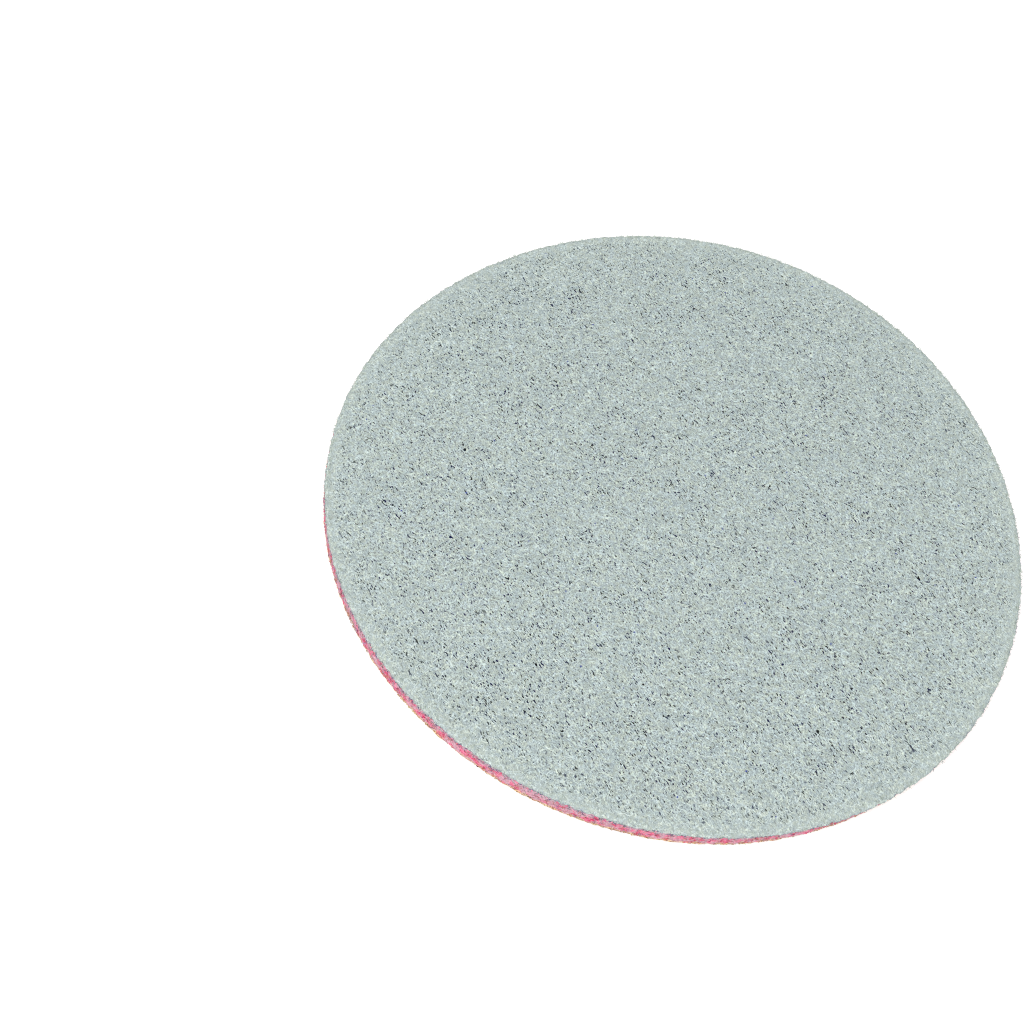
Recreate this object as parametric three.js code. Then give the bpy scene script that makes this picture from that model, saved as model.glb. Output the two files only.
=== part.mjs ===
// Non-woven abrasive disc for a hook-and-loop sander pad.
// Two bonded layers, cut through together: an open maroon fibre web below, and a
// thin grey looped fleece on top. The disc lies on its web.
// Millimetres. The origin is under the centre, +Z is up through the fleece, and
// -Y is the near side.

import * as THREE from "three";

// Driving dimensions
const discDiameter = 150;
const webThickness = 4.3;
const fleeceThickness = 1.2;

// The soft disc is cut slightly out of round, in three lobes
const lobeSize = 0.6;
const lobeTurn = THREE.MathUtils.degToRad(-41);

// The cutting die leaned a little, so the web's lower rim lies off the fleece's
const cutLean = 0.4;
const cutLeanTurn = THREE.MathUtils.degToRad(-120);

// The web's cut edge: rounded at the bottom, pulled in under the fleece, ragged
const webEdgeRound = 0.7;
const webNeck = 0.25;
const tuftSize = 0.2;
const tuftCount = 31;

// The fleece's cut edge rounds over, and its rim is smooth for a little way in
const fleeceEdgeRound = 0.9;
const fleeceEdgeDrop = Math.min(0.7, 0.8 * fleeceThickness);
const smoothRim = 3;

// Lofty ridges on the web's face, with valleys between their flattened crests
const ridgePitch = 11;
const ridgeTurn = THREE.MathUtils.degToRad(-62);
const valleyDepth = 0.8;

// Shallow hollows where needles pulled the fleece down
const hollowPitch = 8.5;
const hollowTurn = THREE.MathUtils.degToRad(25);
const hollowDepth = 0.2;

// How many rings of faces each layer's relief has
const webRings = 26;
const fleeceRings = 22;

const FULL_TURN = 2 * Math.PI;
const SECTORS = 6;
const totalThickness = webThickness + fleeceThickness;

// The outline's radius at an angle: a circle with three low lobes
function outlineRadius(angle) {
  return discDiameter / 2 + lobeSize * Math.cos(3 * (angle - lobeTurn));
}

// A point at an angle and height, some way in from the outline, on the leaning cut
function cutPoint(angle, inset, height) {
  const radius = outlineRadius(angle) - inset;
  const lean = cutLean * (1 - height / totalThickness);
  return [
    radius * Math.cos(angle) + lean * Math.cos(cutLeanTurn),
    radius * Math.sin(angle) + lean * Math.sin(cutLeanTurn),
    height,
  ];
}

// Two crossing waves of a pitch, wandering along their length, from 0 to 1 where
// they dip and 0 on their crests. The crest at the origin is a flat one.
function dips(x, y, pitch, turn) {
  const across = (x * Math.cos(turn) + y * Math.sin(turn)) / pitch;
  const along = (-x * Math.sin(turn) + y * Math.cos(turn)) / pitch;
  const bend = 0.22 * Math.sin(FULL_TURN * 0.41 * along);
  const sway = 0.3 * Math.sin(FULL_TURN * 0.27 * across);
  const ridges = -Math.cos(FULL_TURN * (across + bend));
  const breaks = -Math.cos(FULL_TURN * (0.58 * along + sway));
  const wave = 0.62 * ridges + 0.38 * breaks;
  const crest = 0.12;
  return Math.max(0, wave - crest) / (1 - crest);
}

// Ring k of a face has SECTORS * k points, so all its triangles are about one size.
// placeAt(share, angle) gives the point at a share of the way to the rim.
function ringedFace(rings, placeAt) {
  const points = [placeAt(0, 0)];
  const triangles = [];
  for (let ring = 1; ring <= rings; ring += 1) {
    const count = SECTORS * ring;
    const start = points.length;
    const innerCount = Math.max(1, SECTORS * (ring - 1));
    const innerStart = start - innerCount;
    for (let i = 0; i < count; i += 1) {
      points.push(placeAt(ring / rings, (FULL_TURN * i) / count));
    }
    for (let sector = 0; sector < SECTORS; sector += 1) {
      for (let i = 0; i < ring; i += 1) {
        const outer = start + sector * ring + i;
        const outerNext = start + ((sector * ring + i + 1) % count);
        const inner = innerStart + ((sector * (ring - 1) + i) % innerCount);
        const innerNext = innerStart + ((sector * (ring - 1) + i + 1) % innerCount);
        triangles.push([inner, outer, outerNext]);
        if (i < ring - 1) triangles.push([inner, outerNext, innerNext]);
      }
    }
  }
  return { points, triangles, rimStart: points.length - SECTORS * rings };
}

// A closed layer: a ringed face with relief, a wall of rows that starts at its rim,
// and a flat face closing the last row. The walk round each row is anticlockwise
// seen from above, so reliefUp says which way all the faces point.
function layerGeometry(rings, relief, rows, reliefUp) {
  const { points, triangles, rimStart } = ringedFace(rings, relief);
  const rimCount = SECTORS * rings;
  let rowStart = rimStart;
  for (const row of rows) {
    const nextStart = points.length;
    for (let i = 0; i < rimCount; i += 1) {
      points.push(row((FULL_TURN * i) / rimCount, points[rimStart + i][2]));
    }
    for (let i = 0; i < rimCount; i += 1) {
      const next = (i + 1) % rimCount;
      triangles.push([rowStart + i, nextStart + i, nextStart + next]);
      triangles.push([rowStart + i, nextStart + next, rowStart + next]);
    }
    rowStart = nextStart;
  }
  const middle = points.length;
  points.push([0, 0, webThickness]);
  for (let i = 0; i < rimCount; i += 1) {
    triangles.push([middle, rowStart + ((i + 1) % rimCount), rowStart + i]);
  }
  const order = reliefUp ? triangles : triangles.map(([a, b, c]) => [a, c, b]);
  const geometry = new THREE.BufferGeometry();
  geometry.setAttribute("position", new THREE.Float32BufferAttribute(points.flat(), 3));
  geometry.setIndex(order.flat());
  geometry.computeVertexNormals();
  return geometry;
}

// How far a tuft of the ragged cut stands in from the outline
function tuftInset(angle, height) {
  const phase = tuftCount * angle + 2.1 * Math.sin(7 * angle) + height / webThickness;
  return tuftSize * (0.5 + 0.5 * Math.sin(phase));
}

function abrasiveWeb() {
  const relief = (share, angle) => {
    const inset = webEdgeRound + tuftInset(angle, 0);
    const [x, y] = cutPoint(angle, inset, 0);
    const height = valleyDepth * dips(share * x, share * y, ridgePitch, ridgeTurn);
    return [share * x, share * y, height];
  };
  // Each row: its share of the way up the wall, and how far it lies in
  const wall = [
    [0.18, 0],
    [0.6, 0.3 * webNeck],
    [1, webNeck],
  ];
  const rows = wall.map(([share, inset]) => (angle, rimHeight) => {
    const height = THREE.MathUtils.lerp(rimHeight, webThickness, share);
    return cutPoint(angle, inset + (1 - share) * tuftInset(angle, height), height);
  });
  return layerGeometry(webRings, relief, rows, false);
}

function loopFleece() {
  const flatRadius = discDiameter / 2 - lobeSize - fleeceEdgeRound - smoothRim;
  const relief = (share, angle) => {
    const [x, y] = cutPoint(angle, fleeceEdgeRound, totalThickness);
    const reach = share * Math.hypot(x, y);
    const fade = 1 - THREE.MathUtils.smoothstep(reach, flatRadius - smoothRim, flatRadius);
    const dip = fade * dips(share * x, share * y, hollowPitch, hollowTurn);
    return [share * x, share * y, totalThickness - hollowDepth * dip];
  };
  // Three rows turn a quarter round from the top face to the wall
  const steps = 3;
  const rows = [];
  for (let step = 1; step <= steps; step += 1) {
    const turn = ((Math.PI / 2) * step) / steps;
    const inset = fleeceEdgeRound * (1 - Math.sin(turn));
    const height = totalThickness - fleeceEdgeDrop * (1 - Math.cos(turn));
    rows.push((angle) => cutPoint(angle, inset, height));
  }
  rows.push((angle) => cutPoint(angle, webNeck, webThickness));
  return layerGeometry(fleeceRings, relief, rows, true);
}

function layer(name, geometry, color, roughness) {
  const material = new THREE.MeshStandardMaterial({ color, roughness, metalness: 0 });
  const mesh = new THREE.Mesh(geometry, material);
  mesh.name = name;
  return mesh;
}

const disc = new THREE.Group();
disc.add(layer("abrasive_web", abrasiveWeb(), 0x965f72, 0.9));
disc.add(layer("loop_backing", loopFleece(), 0xb2bfbc, 0.95));

export default disc;
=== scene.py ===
"""A non-woven abrasive disc, 150 mm across, lying on its maroon fibre web with the
looped grey fleece up. Metres, in the frame of the solids: +Z is up through the
fleece, the origin is under the centre and -Y is the near side.

Each layer is a closed shell with its relief in the mesh. Mats of real curly fibres
lie on both faces and stand out of the cut rim. Finer fibre is in the materials."""

import math

import bpy
import numpy as np
from mathutils import Matrix, Vector


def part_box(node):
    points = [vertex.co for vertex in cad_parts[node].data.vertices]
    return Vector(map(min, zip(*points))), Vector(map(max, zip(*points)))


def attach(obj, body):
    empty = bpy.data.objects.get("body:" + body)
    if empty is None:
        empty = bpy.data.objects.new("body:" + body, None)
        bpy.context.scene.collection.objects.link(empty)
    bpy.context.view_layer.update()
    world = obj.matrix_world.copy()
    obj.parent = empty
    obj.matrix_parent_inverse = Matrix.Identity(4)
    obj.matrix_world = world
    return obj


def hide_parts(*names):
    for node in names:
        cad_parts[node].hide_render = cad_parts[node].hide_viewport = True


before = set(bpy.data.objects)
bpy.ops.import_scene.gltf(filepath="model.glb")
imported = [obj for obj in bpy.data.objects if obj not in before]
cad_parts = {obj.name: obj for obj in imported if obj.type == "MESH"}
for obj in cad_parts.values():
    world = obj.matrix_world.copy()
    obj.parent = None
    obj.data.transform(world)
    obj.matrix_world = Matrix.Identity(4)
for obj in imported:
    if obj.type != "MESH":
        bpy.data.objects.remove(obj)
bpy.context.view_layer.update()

MM = 0.001
TURN = 2 * math.pi

# Sizes of the disc, from the solids where they have them. The web lies on the floor and
# meets the fleece at the bond.
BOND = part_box("abrasive_web")[1].z
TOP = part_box("loop_backing")[1].z
RADIUS = 75 * MM
LOBE_SIZE = 0.6 * MM
LOBE_TURN = math.radians(-41)
CUT_LEAN = 0.4 * MM
CUT_LEAN_TURN = math.radians(-120)

# Light that reaches the open nap, where a plain white sky alone would give 1
STUDIO_LIGHT = 1.27


# The cut outline


def outline(angle):
    """The cut outline's radius: a circle with three low lobes."""
    return RADIUS + LOBE_SIZE * np.cos(3 * (angle - LOBE_TURN))


def lean(height):
    """How far the leaning cut has moved sideways at a height: nothing at the top and
    CUT_LEAN at the bottom, as an x and a y."""
    share = 1 - height / TOP
    return (
        CUT_LEAN * share * math.cos(CUT_LEAN_TURN),
        CUT_LEAN * share * math.sin(CUT_LEAN_TURN),
    )


# Noise worked out on arrays

# A lattice repeats after this many cells, and starts this many away from the origin
NOISE_CELLS = 64
PIT_CELLS = 256
CELLS_AWAY = 640


def smooth_noise(x, y, pitch, seed):
    """Value noise: random numbers on a square lattice of a pitch, joined by smooth
    steps, from -1 to 1."""
    table = np.random.default_rng(seed).uniform(-1, 1, (NOISE_CELLS, NOISE_CELLS))
    u, v = x / pitch + CELLS_AWAY + 0.5, y / pitch + CELLS_AWAY + 0.5
    i, j = np.floor(u).astype(int), np.floor(v).astype(int)
    s, t = u - i, v - j
    s, t = s * s * (3 - 2 * s), t * t * (3 - 2 * t)
    i_next, j_next = (i + 1) % NOISE_CELLS, (j + 1) % NOISE_CELLS
    i, j = i % NOISE_CELLS, j % NOISE_CELLS
    low = table[i, j] * (1 - s) + table[i_next, j] * s
    high = table[i, j_next] * (1 - s) + table[i_next, j_next] * s
    return low * (1 - t) + high * t


def cloud(x, y, pitch, seed, octaves=3):
    """Octaves of smooth noise, each at half the pitch and half the height."""
    total = sum(
        smooth_noise(x, y, pitch / 2**k, seed + k) / 2**k for k in range(octaves)
    )
    return total / sum(0.5**k for k in range(octaves))


def pits(x, y, pitch, turn, stretch, share, seed):
    """Scattered long pits: a lattice cell of the turned and squeezed plane holds one
    with a chance of share, at a random spot and of a random size. The value falls
    from 1 at a pit's middle to 0 at its edge, as one less the squared distance."""
    lattice = np.random.default_rng(seed).uniform(0, 1, (PIT_CELLS, PIT_CELLS, 4))
    c, s = math.cos(turn), math.sin(turn)
    u = (x * c + y * s) / (pitch * stretch) + CELLS_AWAY
    v = (-x * s + y * c) / pitch + CELLS_AWAY
    i, j = np.floor(u).astype(int), np.floor(v).astype(int)
    deepest = np.zeros_like(x)
    for di in (-1, 0, 1):
        for dj in (-1, 0, 1):
            cell = lattice[(i + di) % PIT_CELLS, (j + dj) % PIT_CELLS]
            du = u - (i + di + cell[..., 0])
            dv = v - (j + dj + cell[..., 1])
            size = 0.22 + 0.18 * cell[..., 2] ** 2
            depth = np.clip(1 - (du**2 + dv**2) / size**2, 0, 1)
            deepest = np.maximum(deepest, depth * (cell[..., 3] < share))
    return deepest


# Meshes


def mesh_from(name, points, faces, material, attributes):
    """A piece from whole arrays: points, triangles or quads as rows of numbers, and
    attributes as a label with a value for each point."""
    mesh = bpy.data.meshes.new(name)
    mesh.vertices.add(len(points))
    mesh.vertices.foreach_set("co", np.ascontiguousarray(points, np.float32).ravel())
    sides = [np.full(len(rows), rows.shape[1]) for rows in faces]
    counts = np.concatenate(sides)
    corners = np.concatenate([rows.ravel() for rows in faces])
    mesh.loops.add(len(corners))
    mesh.loops.foreach_set("vertex_index", corners.astype(np.int32))
    mesh.polygons.add(len(counts))
    starts = np.concatenate([[0], np.cumsum(counts)[:-1]])
    mesh.polygons.foreach_set("loop_start", starts.astype(np.int32))
    mesh.polygons.foreach_set("use_smooth", np.full(len(counts), True))
    mesh.update(calc_edges=True)
    for label, values in attributes:
        layer = mesh.attributes.new(label, "FLOAT", "POINT")
        layer.data.foreach_set("value", np.ascontiguousarray(values, np.float32))
    mesh.materials.append(material)
    piece = bpy.data.objects.new(name, mesh)
    bpy.context.collection.objects.link(piece)
    return piece


def folded_square(n):
    """A square grid of n by n cells folded onto a unit disc, each square ring going to
    a circle, as the share of the way out and the angle."""
    side = np.linspace(-1, 1, n + 1)
    a, b = np.meshgrid(side, side, indexing="ij")
    wide = np.abs(a) > np.abs(b)
    safe_a, safe_b = np.where(a == 0, 1, a), np.where(b == 0, 1, b)
    share = np.where(wide, a, b)
    angle = np.where(
        wide, (math.pi / 4) * b / safe_a, math.pi / 2 - (math.pi / 4) * a / safe_b
    )
    angle = np.where((a == 0) & (b == 0), 0, angle)
    angle = np.where(share < 0, angle + math.pi, angle)
    return np.abs(share), angle


def rim_of(n):
    """The numbers of a folded square's edge points, anticlockwise from its first."""
    at = np.arange((n + 1) ** 2).reshape(n + 1, n + 1)
    return np.concatenate([at[:-1, 0], at[-1, :-1], at[:0:-1, -1], at[0, :0:-1]])


def shell(name, n, face, wall, closing_height, face_up, material):
    """A closed layer: a folded square for the face with relief, rows of wall from its
    rim, and a fan that closes the last row. face gives points and attributes from the
    share and angle. Each row of wall gives its own from the angle and the rim's height."""
    share, angle = folded_square(n)
    x, y, z, values = face(share, angle)
    points = [np.stack([x.ravel(), y.ravel(), z.ravel()], 1)]
    marks = {label: [value.ravel()] for label, value in values.items()}
    at = np.arange((n + 1) ** 2).reshape(n + 1, n + 1)
    quads = [
        np.stack([at[:-1, :-1], at[1:, :-1], at[1:, 1:], at[:-1, 1:]], -1).reshape(-1, 4)
    ]
    rim = rim_of(n)
    last, total = rim, (n + 1) ** 2
    around = angle.ravel()[rim]
    rim_height = z.ravel()[rim]
    for row in wall:
        row_points, row_values = row(around, rim_height)
        points.append(row_points)
        for label in marks:
            marks[label].append(row_values[label])
        new = total + np.arange(len(rim))
        quads.append(
            np.stack([last, new, np.roll(new, -1), np.roll(last, -1)], 1)
        )
        last, total = new, total + len(rim)
    points.append(np.array([[0, 0, closing_height]]))
    for label in marks:
        marks[label].append(np.zeros(1))
    fan = np.stack([np.full(len(rim), total), np.roll(last, -1), last], 1)
    rows = [np.concatenate(quads), fan]
    if not face_up:
        rows = [part[:, ::-1] for part in rows]
    attributes = [(label, np.concatenate(parts)) for label, parts in marks.items()]
    return mesh_from(name, np.concatenate(points), rows, material, attributes)


TUBE_SIDES = 3

# A direction that no fibre runs along, so a ring can always stand square to it
NEARLY_UP = np.array([0.13, 0.21, 1.0])
TINY = 1e-12


def unit(arrows):
    """Arrows made one long."""
    return arrows / (np.linalg.norm(arrows, axis=2, keepdims=True) + TINY)


def tubes(name, path, radius, tone, material):
    """Fibres as three-sided tubes. path is fibres by stations by 3, and radius is
    fibres by stations, or by 1 where a fibre is even. A station's ring stands square to
    the path, on its sideways and upward directions, and a fibre is closed by a triangle
    at each end. Tone is a number for each fibre."""
    fibres, stations, _ = path.shape
    ahead = unit(np.gradient(path, axis=1))
    side = unit(np.cross(NEARLY_UP, ahead))
    up = np.cross(ahead, side)
    turns = TURN * np.arange(TUBE_SIDES) / TUBE_SIDES
    ring = (
        np.cos(turns)[None, None, :, None] * side[:, :, None, :]
        + np.sin(turns)[None, None, :, None] * up[:, :, None, :]
    )
    points = (path[:, :, None, :] + radius[:, :, None, None] * ring).reshape(-1, 3)
    at = np.arange(fibres * stations * TUBE_SIDES)
    at = at.reshape(fibres, stations, TUBE_SIDES)
    near, far = at[:, :-1], at[:, 1:]
    quads = np.stack(
        [near, np.roll(near, -1, 2), np.roll(far, -1, 2), far], -1
    ).reshape(-1, 4)
    caps = np.concatenate([at[:, 0, ::-1], at[:, -1]])
    tones = np.repeat(tone, stations * TUBE_SIDES)
    return mesh_from(name, points, [quads, caps], material, [("tone", tones)])


# Materials


class Nodes:
    """A short way to write a material's node tree."""

    def __init__(self, name):
        self.material = bpy.data.materials.new(name)
        self.material.use_nodes = True
        self.tree = self.material.node_tree
        self.shader = self.tree.nodes["Principled BSDF"]
        self.place = self.make("TexCoord").outputs["Object"]

    def make(self, kind, **settings):
        """A node of a kind, with its settings."""
        node = self.tree.nodes.new("ShaderNode" + kind)
        for key, value in settings.items():
            setattr(node, key, value)
        return node

    def put(self, socket, value):
        """Links a socket to a value, or sets it."""
        if isinstance(value, bpy.types.NodeSocket):
            self.tree.links.new(value, socket)
        else:
            socket.default_value = value

    def maths(self, operation, a, b=0.0):
        """One sum of two values."""
        node = self.make("Math", operation=operation)
        self.put(node.inputs[0], a)
        self.put(node.inputs[1], b)
        return node.outputs[0]

    def ramp(self, value, low, high, to_low=0.0, to_high=1.0, smooth=True):
        """A value carried from one range to another, with smooth ends."""
        node = self.make("MapRange")
        node.interpolation_type = "SMOOTHSTEP" if smooth else "LINEAR"
        for socket, number in zip(node.inputs[:5], (value, low, high, to_low, to_high)):
            self.put(socket, number)
        return node.outputs[0]

    def mix(self, share, a, b):
        """One colour blended to another."""
        node = self.make("Mix", data_type="RGBA")
        self.put(node.inputs[0], share)
        self.put(node.inputs[6], a)
        self.put(node.inputs[7], b)
        return node.outputs[2]

    def attribute(self, name):
        """A number kept on the mesh's points."""
        return self.make("Attribute", attribute_name=name).outputs["Fac"]

    def turned(self, angle, stretch):
        """The place turned about Z and squeezed along its new X."""
        node = self.make("Mapping", vector_type="TEXTURE")
        self.put(node.inputs["Vector"], self.place)
        node.inputs["Rotation"].default_value = (0, 0, angle)
        node.inputs["Scale"].default_value = (stretch, 1, 1)
        return node.outputs[0]

    def noise(self, place, pitch, detail, rough, bend, seed):
        """Noise of a pitch in metres."""
        node = self.make("TexNoise", noise_dimensions="4D")
        self.put(node.inputs["Vector"], place)
        node.inputs["W"].default_value = seed
        node.inputs["Scale"].default_value = 1 / pitch
        node.inputs["Detail"].default_value = detail
        node.inputs["Roughness"].default_value = rough
        node.inputs["Distortion"].default_value = bend
        return node.outputs["Fac"]

    def strands(self, angle, stretch, pitch, width, seed):
        """Curly strands: where a smooth noise passes its middle value it draws a thin
        winding line, so the value is 1 on the line and falls to 0 at width from it."""
        field = self.noise(self.turned(angle, stretch), pitch, 1.0, 0.5, 0.6, seed)
        off = self.maths("ABSOLUTE", self.maths("SUBTRACT", field, 0.5))
        return self.ramp(off, 0.0, width, 1.0, 0.0)

    def bump(self, height, strength, distance):
        """Fine relief on the shader's normal."""
        node = self.make("Bump")
        node.inputs["Strength"].default_value = strength
        node.inputs["Distance"].default_value = distance
        self.put(node.inputs["Height"], height)
        self.put(self.shader.inputs["Normal"], node.outputs[0])

    def dots(self, angle, stretch, pitch, size, share, seed):
        """Small pits, each at the point of a Voronoi cell in a share of the cells, some
        deeper than others, and the rings of lifted fibre round them."""
        node = self.make("TexVoronoi", voronoi_dimensions="2D", feature="F1")
        moved = self.make("VectorMath", operation="ADD")
        self.put(moved.inputs[0], self.turned(angle, stretch))
        moved.inputs[1].default_value = (seed, seed * 0.37, 0)
        self.put(node.inputs["Vector"], moved.outputs[0])
        node.inputs["Scale"].default_value = 1 / pitch
        apart = self.make("SeparateColor")
        self.put(apart.inputs[0], node.outputs["Color"])
        picked = self.maths("LESS_THAN", apart.outputs[0], share)
        chance = apart.outputs[1]
        chance = self.maths("MULTIPLY", chance, chance)
        depth = self.ramp(chance, 0.0, 0.40, 0.56, 1.0, smooth=False)
        far = node.outputs["Distance"]
        hole = self.maths("MULTIPLY", self.ramp(far, size * 0.85, size, 1.0, 0.0), depth)
        ring = self.ramp(far, size, size * 1.8, 1.0, 0.0)
        ring = self.maths("MULTIPLY", ring, self.ramp(far, size * 0.8, size))
        return self.maths("MULTIPLY", hole, picked), self.maths("MULTIPLY", ring, picked)

    def bond_shade(self, shade, reach):
        """Painted shade: violet-grey patches low on the fleece's cut edge, where it is
        bonded and the join lies in shade, fading out at a reach above the bond."""
        split = self.make("SeparateXYZ")
        self.put(split.inputs[0], self.place)
        patches = self.noise(self.place, 0.5 * MM, 2.0, 0.6, 0.4, 31.0)
        ragged = self.noise(self.place, 1.6 * MM, 1.0, 0.5, 0.0, 38.0)
        ragged = self.ramp(ragged, 0.35, 0.65, -0.3 * MM, 0.3 * MM, smooth=False)
        height = self.maths("ADD", split.outputs[2], ragged)
        low = self.ramp(height, BOND + 0.10 * MM, BOND + reach, 0.85, 0.0)
        share = self.maths("MULTIPLY", low, self.ramp(patches, 0.45, 0.57, 0.15, 1.0))
        # Painted shade: a dark violet-grey where the fleece meets the web
        return self.mix(share, shade, colour(104, 102, 130))

    def tufts(self):
        """How pale the cut rim is, from vivid tufts to paler ones between them."""
        return self.ramp(self.noise(self.place, 1.6 * MM, 2.0, 0.5, 0.3, 11.0), 0.43, 0.56)

    def rim_tints(self, shade):
        """The cut rim's tints by height: golden at the bottom edge, grey in patches just
        under the fleece, and violet painted shade in the gaps there, under the fleece's
        edge."""
        split = self.make("SeparateXYZ")
        self.put(split.inputs[0], self.place)
        patches = self.noise(self.place, 0.9 * MM, 2.0, 0.6, 0.0, 30.0)
        ragged = self.ramp(patches, 0.35, 0.65, -0.4 * MM, 0.4 * MM, smooth=False)
        height = self.maths("ADD", split.outputs[2], ragged)
        low = self.ramp(height, 0.8 * MM, 1.8 * MM, 0.9, 0.0)
        grit = self.noise(self.place, 0.32 * MM, 2.0, 0.6, 0.5, 35.0)
        grit = self.ramp(grit, 0.40, 0.56)
        golden = self.mix(grit, colour(184, 136, 100), colour(252, 234, 176))
        high = self.ramp(split.outputs[2], BOND - 1.3 * MM, BOND - 0.4 * MM)
        felted = self.noise(self.place, 0.6 * MM, 1.0, 0.5, 0.0, 33.0)
        grey = self.maths("MULTIPLY", high, self.ramp(felted, 0.49, 0.55, 0.0, 0.85))
        # Painted shade: violet in the gaps just under the fleece, where its edge shades the
        # web's rim
        gaps = self.noise(self.place, 0.55 * MM, 2.0, 0.6, 0.4, 37.0)
        high = self.maths("MULTIPLY", high, self.ramp(gaps, 0.52, 0.59, 0.0, 0.9))
        shade = self.mix(low, shade, golden)
        shade = self.mix(grey, shade, colour(172, 168, 174))
        return self.mix(high, shade, colour(102, 86, 126))


def colour(red, green, blue):
    """The linear albedo that shows as a display colour of 0 to 255 on a level face in
    the studio's light."""
    parts = [value / 255 for value in (red, green, blue)]
    linear = [p / 12.92 if p <= 0.04045 else ((p + 0.055) / 1.055) ** 2.4 for p in parts]
    return (*[value / STUDIO_LIGHT for value in linear], 1.0)


def fleece_material():
    """Grey-green needled fleece: pale curly strands that run one way in each patch, over
    darker felt with fine gaps painted dark as shade, small pits painted near-black as the
    shade in them and ringed by lifted fibre, a few blue specks, and tints that wander
    from bluish to yellowish green."""
    n = Nodes("fleece")
    nap = n.strands(math.radians(-36), 2.2, 0.66 * MM, 0.036, 0.0)
    for k, degrees in enumerate((-8, 48, 100)):
        line = n.strands(math.radians(degrees), 1.8, 0.72 * MM, 0.036, 3.7 + 3.7 * k)
        patch = n.noise(n.place, 2.5 * MM, 1.0, 0.5, 0.0, 40 + 2.9 * k)
        line = n.maths("MULTIPLY", line, n.ramp(patch, 0.36, 0.64, 0.3, 1.0))
        nap = n.maths("MAXIMUM", nap, line)
    fine = n.noise(n.turned(math.radians(-34), 1.8), 0.27 * MM, 0.0, 0.5, 0.4, 2.2)
    clouds = n.noise(n.place, 4.0 * MM, 3.0, 0.55, 0.5, 7.0)
    tints = n.noise(n.place, 0.7 * MM, 2.0, 0.6, 0.0, 15.0)
    plain = n.attribute("plain")
    pitted = n.ramp(clouds, 0.42, 0.62, 1.0, 0.66)
    gapped = n.maths("MULTIPLY", pitted, n.ramp(plain, 0.0, 1.0, 1.0, 0.8))
    pitted = n.maths("MULTIPLY", pitted, n.ramp(plain, 0.0, 0.9, 1.0, 0.3))
    holes, rings = n.dots(math.radians(-34), 2.2, 0.60 * MM, 0.26, 0.20, 0.7)
    tiny, tiny_rings = n.dots(math.radians(-26), 1.8, 0.46 * MM, 0.28, 0.17, 3.1)
    holes = n.maths("MAXIMUM", holes, n.maths("MULTIPLY", tiny, 0.85))
    dashes = n.noise(n.turned(math.radians(-36), 2.4), 0.31 * MM, 0.0, 0.5, 0.2, 61.0)
    holes = n.maths("MAXIMUM", holes, n.ramp(dashes, 0.272, 0.304, 1.0, 0.0))
    holes = n.maths("MULTIPLY", holes, pitted)
    rings = n.maths("MAXIMUM", rings, n.maths("MULTIPLY", tiny_rings, 0.7))
    lifted = n.maths("MAXIMUM", nap, n.maths("MULTIPLY", rings, 0.8))
    tint = n.ramp(tints, 0.38, 0.62)
    felt = n.mix(tint, colour(164, 178, 180), colour(171, 182, 175))
    strand = n.mix(tint, colour(221, 238, 239), colour(229, 241, 228))
    body = n.mix(lifted, felt, strand)
    # Painted shade: fine gaps between the strands painted dark grey-green, as the shade down
    # in the nap
    gaps = n.maths("MULTIPLY", n.ramp(fine, 0.40, 0.50, 0.36, 0.0), gapped)
    body = n.mix(gaps, body, colour(86, 105, 110))
    body = n.mix(n.ramp(clouds, 0.3, 0.7, 0.0, 0.07), body, colour(146, 156, 155))
    body = n.mix(n.maths("MULTIPLY", plain, 0.25), body, colour(206, 216, 208))
    # Painted shade: the pits, from the dots, the dashes and the mesh's own pits, are painted
    # near-black, bluish in places, as the shade inside them
    deep = n.maths("MAXIMUM", holes, n.ramp(n.attribute("pit"), 0.72, 0.97, 0.0, 0.6))
    depths = n.noise(n.place, 1.1 * MM, 0.0, 0.5, 0.0, 52.0)
    dark = n.mix(n.ramp(depths, 0.40, 0.60), colour(1, 12, 14), colour(6, 20, 66))
    body = n.mix(deep, body, dark)
    specks, _ = n.dots(0.0, 1.0, 9 * MM, 0.023, 0.3, 8.0)
    specks = n.maths("MULTIPLY", specks, n.ramp(plain, 0.4, 0.6, 1.0, 0.0))
    body = n.mix(specks, body, colour(72, 86, 162))
    # Painted shade low on the fleece's cut edge, by the bond
    body = n.bond_shade(body, 0.95 * MM)
    n.put(n.shader.inputs["Base Color"], body)
    n.shader.inputs["Roughness"].default_value = 0.9
    n.shader.inputs["Specular IOR Level"].default_value = 0.15
    n.shader.inputs["Sheen Weight"].default_value = 0.05
    n.shader.inputs["Sheen Roughness"].default_value = 0.5
    height = n.maths("ADD", n.maths("MULTIPLY", lifted, 0.7), n.maths("MULTIPLY", fine, 0.5))
    height = n.maths("SUBTRACT", height, n.maths("MULTIPLY", holes, 1.2))
    n.bump(height, 0.7, 0.12 * MM)
    return n.material


def fleece_fibre_material(name, low, high):
    """Loose fleece fibre: pale, each fibre with a tone of its own."""
    n = Nodes(name)
    tone = n.attribute("tone")
    grain = n.noise(n.place, 0.5 * MM, 2.0, 0.5, 0.0, 1.0)
    mixed = n.maths("ADD", n.maths("MULTIPLY", tone, 0.8), n.maths("MULTIPLY", grain, 0.2))
    # The loose fibres take the same painted shade low by the bond
    n.put(n.shader.inputs["Base Color"], n.bond_shade(n.mix(mixed, low, high), 0.55 * MM))
    n.shader.inputs["Roughness"].default_value = 0.7
    n.shader.inputs["Specular IOR Level"].default_value = 0.2
    return n.material


# The web's fibres by the way they lie, in degrees, and their display colours: maroon,
# copper, magenta, lilac and rose
WEB_STRANDS = (
    (20, (166, 78, 106)),
    (80, (196, 100, 96)),
    (140, (182, 78, 134)),
    (-10, (176, 116, 168)),
    (50, (216, 142, 152)),
)


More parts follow.
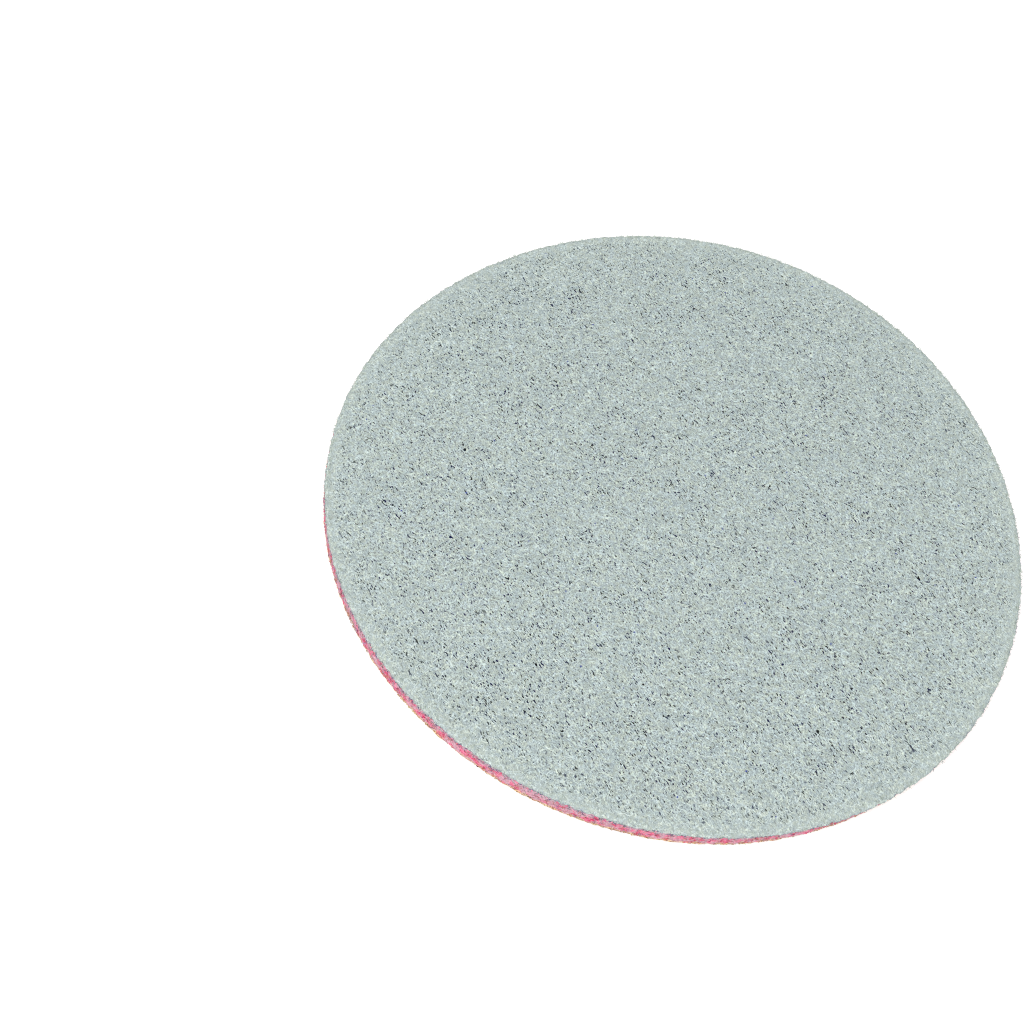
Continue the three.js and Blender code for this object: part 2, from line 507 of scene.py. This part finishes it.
def web_material():
    """The web's body, seen between its fibres: dark maroon resin-bonded fibre, with painted
    shade darkening its valleys. Its cut rim is bright pink with paler tufts, painted violet
    shade in the gaps under the fleece, and golden where the resin shows at the bottom edge."""
    n = Nodes("web")
    grain = n.noise(n.place, 0.35 * MM, 3.0, 0.6, 0.3, 4.0)
    face = n.mix(n.ramp(grain, 0.40, 0.62), colour(46, 28, 38), colour(104, 54, 74))
    net = None
    for k, (degrees, shade) in enumerate(WEB_STRANDS):
        line = n.strands(math.radians(degrees), 2.0, 0.9 * MM, 0.055, 20 + k * 5.1)
        face = n.mix(line, face, colour(*shade))
        net = line if net is None else n.maths("MAXIMUM", net, line)
    tone = n.maths("ADD", n.maths("MULTIPLY", net, 0.65), n.maths("MULTIPLY", grain, 0.4))
    # Painted shade: the valleys, by the hollow attribute, are painted a darker maroon as the
    # shade down in them
    sunk = n.maths("MULTIPLY", n.attribute("hollow"), 0.5)
    face = n.mix(sunk, face, colour(66, 36, 48))
    cut = n.mix(n.tufts(), colour(244, 68, 126), colour(212, 172, 184))
    loops = n.strands(0.0, 1.0, 0.62 * MM, 0.07, 77.0)
    loops = n.maths("MULTIPLY", n.maths("MAXIMUM", loops, net), 0.5)
    cut = n.mix(n.ramp(grain, 0.36, 0.50, 0.85, 0.0), cut, colour(112, 38, 76))
    cut = n.mix(loops, cut, colour(242, 176, 194))
    cut = n.rim_tints(cut)
    body = n.mix(n.attribute("cut"), face, cut)
    n.put(n.shader.inputs["Base Color"], body)
    n.shader.inputs["Roughness"].default_value = 0.75
    n.shader.inputs["Specular IOR Level"].default_value = 0.3
    n.bump(tone, 0.8, 0.2 * MM)
    return n.material


def web_fibre_material(name, low, high, copper, lilac, fleck, rim=False):
    """Maroon fibre with resin and grain on it. Tone picks the fibre's shade, some fibres
    are copper or lilac, and a fine noise gives flecks of grain."""
    n = Nodes(name)
    tone = n.attribute("tone")
    grain = n.noise(n.place, 0.25 * MM, 2.0, 0.6, 0.0, 9.0)
    share = tone
    if rim:
        share = n.maths("MULTIPLY", n.tufts(), 0.7)
        share = n.maths("ADD", share, n.maths("MULTIPLY", tone, 0.3))
    shade = n.mix(share, low, high)
    pick = n.maths("FRACT", n.maths("MULTIPLY", tone, 7.0))
    shade = n.mix(n.ramp(pick, 0.58, 0.60), shade, copper)
    shade = n.mix(n.ramp(pick, 0.82, 0.84), shade, lilac)
    shade = n.mix(n.ramp(grain, 0.56, 0.68), shade, fleck)
    if rim:
        # The rim's tints, with their violet painted shade under the fleece
        shade = n.rim_tints(shade)
    n.put(n.shader.inputs["Base Color"], shade)
    n.shader.inputs["Roughness"].default_value = 0.55
    n.shader.inputs["Specular IOR Level"].default_value = 0.45
    return n.material


# Fibres


def curly_walk(own, length, stations, bend, sway, heading):
    """Flat curly paths, each about its own middle: equal steps on a heading that turns
    steadily by up to bend and swings to and fro by up to sway."""
    count = len(length)

    def draw(low, high):
        return own.uniform(low, high, (count, 1))

    s = np.linspace(0, 1, stations)
    swing = draw(0.4, 1.0) * sway * np.sin(TURN * (draw(0.6, 1.7) * s + draw(0, 1)))
    course = heading[:, None] + draw(-bend, bend) * s + swing
    step = (length / (stations - 1))[:, None]
    u = np.cumsum(np.cos(course) * step, 1)
    v = np.cumsum(np.sin(course) * step, 1)
    return u - u.mean(1, keepdims=True), v - v.mean(1, keepdims=True)


def wave(own, count, stations, low, high):
    """A sine along each fibre, of low to high turns, started anywhere."""
    s = np.linspace(0, 1, stations)
    turns = own.uniform(low, high, (count, 1))
    return np.sin(TURN * (turns * s + own.uniform(0, 1, (count, 1))))


def scattered(own, count, margin):
    """Spots spread evenly over the disc, up to a margin inside the rim."""
    reach = (RADIUS - margin) * np.sqrt(own.uniform(0, 1, count))
    angle = own.uniform(0, TURN, count)
    return reach * np.cos(angle), reach * np.sin(angle)


def kept_inside(x, y, margin):
    """Points beyond the outline pulled back to a margin inside it, with how far each
    then lies inside that."""
    far = np.hypot(x, y) + 1e-9
    limit = outline(np.arctan2(y, x)) - margin
    pull = np.minimum(1, limit / far)
    return x * pull, y * pull, limit - far * pull


# The fleece

PLAIN_RIM = 2.0 * MM
CALM_RIM = 14 * MM
FLEECE_ROUND = 0.9 * MM
FLEECE_DROP = 0.7 * MM
PIT_DEPTH = 0.26 * MM
GRAIN_TURN = math.radians(-34)

# Cells along a side of the folded square, and each mat's fibres and their stations
FLEECE_CELLS = 285
FLEECE_MAT = (5000, 6)
FLEECE_FUZZ = (3600, 5)

# The share of the cut edge's way down that is rounded, where the rest is wall
ROUND_SHARE = 0.62


def nap_height(x, y):
    """The fleece's own level away from its pits: soft clouds and finer lumps."""
    lumps = 0.06 * MM * cloud(x, y, 4.5 * MM, 11, 4)
    return TOP - 0.10 * MM + lumps + 0.03 * MM * smooth_noise(x, y, 0.9 * MM, 15)


def fleece_face(share, angle):
    """The fleece's upper face: its nap with long pits sunk in it, fewer at the rim."""
    ragged = 0.14 * MM * smooth_noise(angle * RADIUS, 0 * angle, 0.9 * MM, 91)
    reach = share * (outline(angle) - FLEECE_ROUND + ragged * share**8)
    x, y = reach * np.cos(angle), reach * np.sin(angle)
    inward = outline(angle) - FLEECE_ROUND - reach
    open_nap = np.clip(inward / PLAIN_RIM, 0, 1)
    thin = 0.5 + 0.5 * cloud(x, y, 6 * MM, 31)
    wander = 0.35 * MM * cloud(x, y, 2.2 * MM, 51)
    deep = pits(x + wander, y - wander, 0.95 * MM, GRAIN_TURN, 1.5, 0.12, 77)
    deep = deep * open_nap * np.clip(0.35 + 0.9 * thin, 0, 1)
    z = nap_height(x, y) - PIT_DEPTH * deep
    calm = np.clip(1 - inward / CALM_RIM, 0, 1)
    # pit sinks the mesh here and also paints the pits dark in the material, as painted shade
    return x, y, z, {"pit": deep, "plain": 0.35 * calm + 0.65 * (1 - open_nap)}


def fleece_wall(inset, drop):
    """One row of the fleece's cut edge, some way in and down, with a ragged line."""

    def row(angle, rim_height):
        place = angle * RADIUS
        ragged = 0.16 * MM * smooth_noise(place, drop + 0 * angle, 0.8 * MM, 91)
        ragged = ragged + 0.12 * MM * smooth_noise(place, drop + 0 * angle, 0.4 * MM, 95)
        dx, dy = lean(TOP - drop)
        reach = outline(angle) - inset + ragged
        x, y = reach * np.cos(angle) + dx, reach * np.sin(angle) + dy
        plain = np.ones(len(angle))
        return np.stack([x, y, rim_height - drop], 1), {"pit": 0 * plain, "plain": plain}

    return row


def build_fleece():
    """The fleece's shell: its face, a quarter turn round the cut edge and its wall."""
    steps = 5
    rows = []
    for step in range(1, steps + 1):
        turn = (math.pi / 2) * step / steps
        inset = FLEECE_ROUND * (1 - math.sin(turn))
        rows.append(fleece_wall(inset, FLEECE_DROP * (1 - math.cos(turn))))
    rows.append(fleece_wall(0.15 * MM, TOP - BOND - 0.12 * MM))
    felt = fleece_material()
    body = shell("fleece_body", FLEECE_CELLS, fleece_face, rows, BOND, True, felt)
    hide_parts("loop_backing")
    return body


def fleece_mat(name, count, stations, seed, material):
    """Loose curly fibres half sunk in the fleece. Most run near the grain, which drifts
    from place to place, and each rises and sinks through the nap as it goes."""
    own = np.random.default_rng(seed)
    spot_x, spot_y = scattered(own, count, 0.8 * MM)
    grain = GRAIN_TURN + 0.9 * cloud(spot_x, spot_y, 24 * MM, 61)
    free = own.uniform(0, 1, count) < 0.45
    heading = np.where(free, own.uniform(0, TURN, count), own.normal(grain, 0.45))
    length = own.uniform(1.5, 3.4, count) * MM
    u, v = curly_walk(own, length, stations, 1.3, 1.1, heading)
    x, y, inward = kept_inside(u + spot_x[:, None], v + spot_y[:, None], 0.2 * MM)
    radius = own.uniform(0.050, 0.085, (count, 1)) * MM
    rise = own.uniform(-0.03, 0.03, (count, 1)) * MM
    rise = rise + 0.05 * MM * wave(own, count, stations, 0.8, 1.8)
    edge = np.clip(inward / FLEECE_ROUND, 0, 1)
    z = nap_height(x, y) + rise - FLEECE_DROP * (1 - np.sqrt(1 - (1 - edge) ** 2))
    z[:, [0, -1]] -= 0.12 * MM
    tone = own.uniform(0, 1, count)
    return tubes(name, np.stack([x, y, z], 2), radius, tone, material)


def fleece_fuzz(name, count, stations, seed, material):
    """Short fibres round the fleece's cut edge. Each starts just under the rounded edge
    or the wall, points out along it with a lean of its own, and bends as it goes."""
    own = np.random.default_rng(seed)
    angle = own.uniform(0, TURN, count)
    down = own.uniform(0, 0.8, count)
    turn = (math.pi / 2) * np.clip(down / ROUND_SHARE, 0.12, 1)
    on_wall = np.clip((down - ROUND_SHARE) / (1 - ROUND_SHARE), 0, 1)
    reach = outline(angle) - FLEECE_ROUND * (1 - np.sin(turn)) - 0.2 * MM
    wall = TOP - BOND - FLEECE_DROP - 0.1 * MM
    level = TOP - 0.15 * MM - FLEECE_DROP * (1 - np.cos(turn)) - wall * on_wall
    length = own.uniform(0.30, 0.62, count) * MM
    s = np.linspace(0, 1, stations)
    side = own.normal(0, 1.0, (count, 1)) + own.normal(0, 1.5, (count, 1)) * s
    tilt = own.normal(0.1, 0.45, (count, 1)) * (1 - 0.4 * s)
    climb = (math.pi / 2 - turn)[:, None] + tilt
    step = (length / (stations - 1))[:, None]
    course = angle[:, None] + side
    flat_step = np.cos(climb) * step
    x = np.cumsum(np.cos(course) * flat_step, 1) + (reach * np.cos(angle))[:, None]
    y = np.cumsum(np.sin(course) * flat_step, 1) + (reach * np.sin(angle))[:, None]
    z = np.cumsum(np.sin(climb) * step, 1) + level[:, None]
    z = np.minimum(z, TOP + 0.15 * MM)
    radius = own.uniform(0.045, 0.08, (count, 1)) * MM * (1 - 0.5 * s)
    tone = own.uniform(0, 1, count)
    return tubes(name, np.stack([x, y, z], 2), radius, tone, material)


# The web

RIDGE_PITCH = 7 * MM
RIDGE_TURN = math.radians(-62)
VALLEY_DEPTH = 1.0 * MM
WEB_ROUND = 0.35 * MM
WEB_SKIN = 0.35 * MM
TUCK = 0.75 * MM
TUCK_TURN = math.radians(-38)
TUCK_SPREAD = math.radians(20)

# The outer shares of the face where the valleys close and where it takes the cut's tint
FADE_SHARE = 0.03
CUT_SHARE = 0.015

# Cells along a side of the folded square, and each mat's fibres and their stations
WEB_CELLS = 200
WEB_MAT = (3000, 9)
WEB_RIM = (3100, 6)

# The rim's fibres stand in at the bottom, up to a height, and under the fleece
FOOT_INSET = 0.5 * MM
FOOT_HEIGHT = 1.3 * MM
NECK_INSET = 0.2 * MM


def valleys(x, y):
    """Lofty ridges with broken valleys between them: noise stretched along the ridges,
    0 on the crests and 1 in the deepest valleys."""
    c, s = math.cos(RIDGE_TURN), math.sin(RIDGE_TURN)
    across, along = x * c + y * s, -x * s + y * c
    long_wave = cloud(across, along / 2.2, RIDGE_PITCH * 0.55, 131, 3)
    return np.clip(0.5 + 1.1 * long_wave, 0, 1)


def tucked(x, y, z):
    """The web's rim drawn in under the fleece round one spot: a bell curve of the angle
    from there, fading to nothing inside the rim, and half as far at the bond."""
    angle, far = np.arctan2(y, x), np.hypot(x, y) / RADIUS
    bell = np.exp(-0.5 * ((angle - TUCK_TURN) / TUCK_SPREAD) ** 2)
    pull = TUCK * bell * (1 - 0.5 * z / BOND) * np.clip(far, 0, 1) ** 12 / RADIUS
    return x * (1 - pull), y * (1 - pull)


def rim_fade(share):
    """How open the valleys are: fully, down to a quarter at the very rim."""
    return 0.25 + 0.75 * np.clip((1 - share) / FADE_SHARE, 0, 1)


def web_face(share, angle):
    """The web's working face, facing down: ridges and valleys and a fine open grain."""
    dx, dy = lean(0)
    reach = share * (outline(angle) - WEB_ROUND)
    x, y = reach * np.cos(angle) + dx * share, reach * np.sin(angle) + dy * share
    hollow = valleys(x, y)
    grain = 0.16 * MM * smooth_noise(x, y, 0.8 * MM, 171)
    z = WEB_SKIN + VALLEY_DEPTH * hollow * rim_fade(share) + grain
    x, y = tucked(x, y, z)
    cut = 0.6 * np.clip((share - 1 + CUT_SHARE) / CUT_SHARE, 0, 1)
    # hollow paints the valleys darker in the material, as painted shade
    return x, y, z, {"cut": cut, "hollow": hollow * rim_fade(share)}


def web_wall(share, inset):
    """One row of the web's cut edge, at a share of the way up the wall, pushed in and
    out by tufts."""

    def row(angle, rim_height):
        height = rim_height * (1 - share) + BOND * share
        tuft = smooth_noise(angle * RADIUS, height, 1.1 * MM, 191)
        tuft = 0.24 * MM * tuft * (1 - 0.6 * share)
        dx, dy = lean(height)
        reach = outline(angle) - inset - 0.08 * MM + tuft
        x, y = tucked(reach * np.cos(angle) + dx, reach * np.sin(angle) + dy, height)
        return np.stack([x, y, height], 1), {"cut": 1 + 0 * angle, "hollow": 0 * angle}

    return row


def build_web():
    """The web's shell: its face and a cut wall that necks in under the fleece."""
    shares = (0.06, 0.18, 0.32, 0.46, 0.60, 0.74, 0.88, 1.0)
    insets = (0.14, 0.04, 0.0, 0.0, 0.02, 0.05, 0.08, 0.14)
    rows = [web_wall(share, inset * MM) for share, inset in zip(shares, insets)]
    body = shell("web_body", WEB_CELLS, web_face, rows, BOND, False, web_material())
    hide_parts("abrasive_web")
    return body


def web_mat(name, count, stations, seed, material):
    """Curly fibres on the web's working face. They follow the ridges' height and loop
    up and down through it, never below the surface that the disc lies on."""
    own = np.random.default_rng(seed)
    spot_x, spot_y = scattered(own, count, 1.0 * MM)
    length = own.uniform(3.5, 8.0, count) * MM
    heading = own.uniform(0, TURN, count)
    u, v = curly_walk(own, length, stations, 2.5, 2.0, heading)
    x, y, _ = kept_inside(u + spot_x[:, None], v + spot_y[:, None], 0.4 * MM)
    radius = own.uniform(0.06, 0.11, (count, 1)) * MM
    loft = 0.22 * MM * wave(own, count, stations, 0.8, 2.2)
    sunk = own.uniform(0.0, 0.35, (count, 1)) * MM
    share = np.hypot(x, y) / (RADIUS - WEB_ROUND)
    z = WEB_SKIN + VALLEY_DEPTH * valleys(x, y) * rim_fade(share) + loft - sunk
    z = np.maximum(z, radius * 1.05)
    dx, dy = lean(z)
    x, y = tucked(x + dx * share, y + dy * share, z)
    tone = own.uniform(0, 1, count)
    return tubes(name, np.stack([x, y, z], 2), radius, tone, material)


def web_rim(name, count, stations, seed, material):
    """Curly fibres on the web's cut wall: they run and loop over the wall, in and out
    of it, and keep clear of the surface below and of the fleece above."""
    own = np.random.default_rng(seed)
    middle = own.uniform(0, TURN, (count, 1))
    level = own.uniform(0.05, 1.0, (count, 1)) * (BOND - 0.1 * MM)
    length = own.uniform(0.7, 2.0, count) * MM
    upright = own.uniform(0, 1, count) < 0.75
    up = own.normal(math.pi / 2, 0.6, count)
    heading = np.where(upright, up, own.uniform(0, TURN, count))
    along, rise = curly_walk(own, length, stations, 1.6, 1.4, heading)
    radius = own.uniform(0.045, 0.085, (count, 1)) * MM
    z = np.clip(level + rise, 0.5 * MM, BOND - 0.05 * MM)
    angle = middle + along / RADIUS
    out = own.normal(-0.05, 0.06, (count, 1)) * MM
    out = out + 0.09 * MM * wave(own, count, stations, 0.5, 1.5)
    foot = FOOT_INSET * np.clip(1 - z / FOOT_HEIGHT, 0, 1) ** 1.5
    neck = NECK_INSET * np.clip((z - 0.75 * BOND) / (0.25 * BOND), 0, 1)
    reach = outline(angle) + out - foot - neck
    dx, dy = lean(z)
    x, y = tucked(reach * np.cos(angle) + dx, reach * np.sin(angle) + dy, z)
    tone = own.uniform(0, 1, count)
    return tubes(name, np.stack([x, y, z], 2), radius, tone, material)


# The stage


def camera():
    """The photograph's view: 55 degrees up from the disc's middle, with a 50 mm lens, a
    little roll, and the disc right of the middle of the frame."""
    place = Vector((0, -0.1759, 0.2563))
    aim = Vector((-0.0323, -0.0157, 0))
    roll = math.radians(11.5)
    data = bpy.data.cameras.new("camera")
    data.lens, data.sensor_width = 50, 36
    made = bpy.data.objects.new("camera", data)
    bpy.context.collection.objects.link(made)
    forward = (aim - place).normalized()
    level = forward.cross(Vector((0, 0, 1))).normalized()
    upward = level.cross(forward)
    right = math.cos(roll) * level + math.sin(roll) * upward
    up = math.cos(roll) * upward - math.sin(roll) * level
    turn = Matrix((right, up, -forward)).transposed()
    made.matrix_world = Matrix.Translation(place) @ turn.to_4x4()
    data.clip_start, data.clip_end = 0.01, 10
    bpy.context.scene.camera = made


def stage():
    """A plain pale floor, a pale sky and one soft lamp above and behind the camera, a
    little to its left."""
    half = 3.0
    mesh = bpy.data.meshes.new("floor")
    corners = [(-half, -half, 0), (half, -half, 0), (half, half, 0), (-half, half, 0)]
    mesh.from_pydata(corners, [], [(0, 1, 2, 3)])
    floor = bpy.data.objects.new("floor", mesh)
    bpy.context.collection.objects.link(floor)
    n = Nodes("floor")
    n.shader.inputs["Base Color"].default_value = (0.95, 0.95, 0.95, 1)
    n.shader.inputs["Roughness"].default_value = 1.0
    n.shader.inputs["Specular IOR Level"].default_value = 0.0
    mesh.materials.append(n.material)
    world = bpy.data.worlds.new("sky")
    world.use_nodes = True
    sky = world.node_tree.nodes["Background"]
    sky.inputs["Color"].default_value = (1, 1, 1, 1)
    sky.inputs["Strength"].default_value = 0.80
    bpy.context.scene.world = world
    lamp = bpy.data.lights.new("key", "AREA")
    lamp.energy, lamp.size = 15.5, 0.8
    key = bpy.data.objects.new("key", lamp)
    bpy.context.collection.objects.link(key)
    place = Vector((-0.14, -0.76, 1.12))
    turn = (-place).to_track_quat("-Z", "Y").to_matrix().to_4x4()
    key.matrix_world = Matrix.Translation(place) @ turn
    bpy.context.scene.view_settings.view_transform = "Standard"
    bpy.context.scene.cycles.filter_width = 1.0
    bpy.context.scene.cycles.denoising_prefilter = "FAST"


camera()
stage()

pale = fleece_fibre_material("fleece_fibre", colour(192, 207, 206), colour(236, 248, 244))
fringe = fleece_fibre_material("fleece_fringe", colour(172, 190, 178), colour(238, 246, 232))
maroon = web_fibre_material(
    "web_fibre",
    colour(136, 52, 84),
    colour(204, 112, 144),
    colour(204, 112, 86),
    colour(188, 140, 190),
    colour(226, 168, 150),
)
cut_maroon = web_fibre_material(
    "web_cut_fibre",
    colour(246, 64, 120),
    colour(216, 178, 190),
    colour(224, 140, 132),
    colour(204, 156, 192),
    colour(226, 164, 146),
    rim=True,
)

pieces = {
    "fleece": [
        build_fleece(),
        fleece_mat("fleece_fibres_a", *FLEECE_MAT, 301, pale),
        fleece_mat("fleece_fibres_b", *FLEECE_MAT, 302, pale),
        fleece_fuzz("fleece_rim_fibres", *FLEECE_FUZZ, 303, fringe),
    ],
    "web": [
        build_web(),
        web_mat("web_fibres", *WEB_MAT, 401, maroon),
        web_rim("web_rim_fibres", *WEB_RIM, 403, cut_maroon),
    ],
}
for slot, group in pieces.items():
    for piece in group:
        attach(piece, "root")
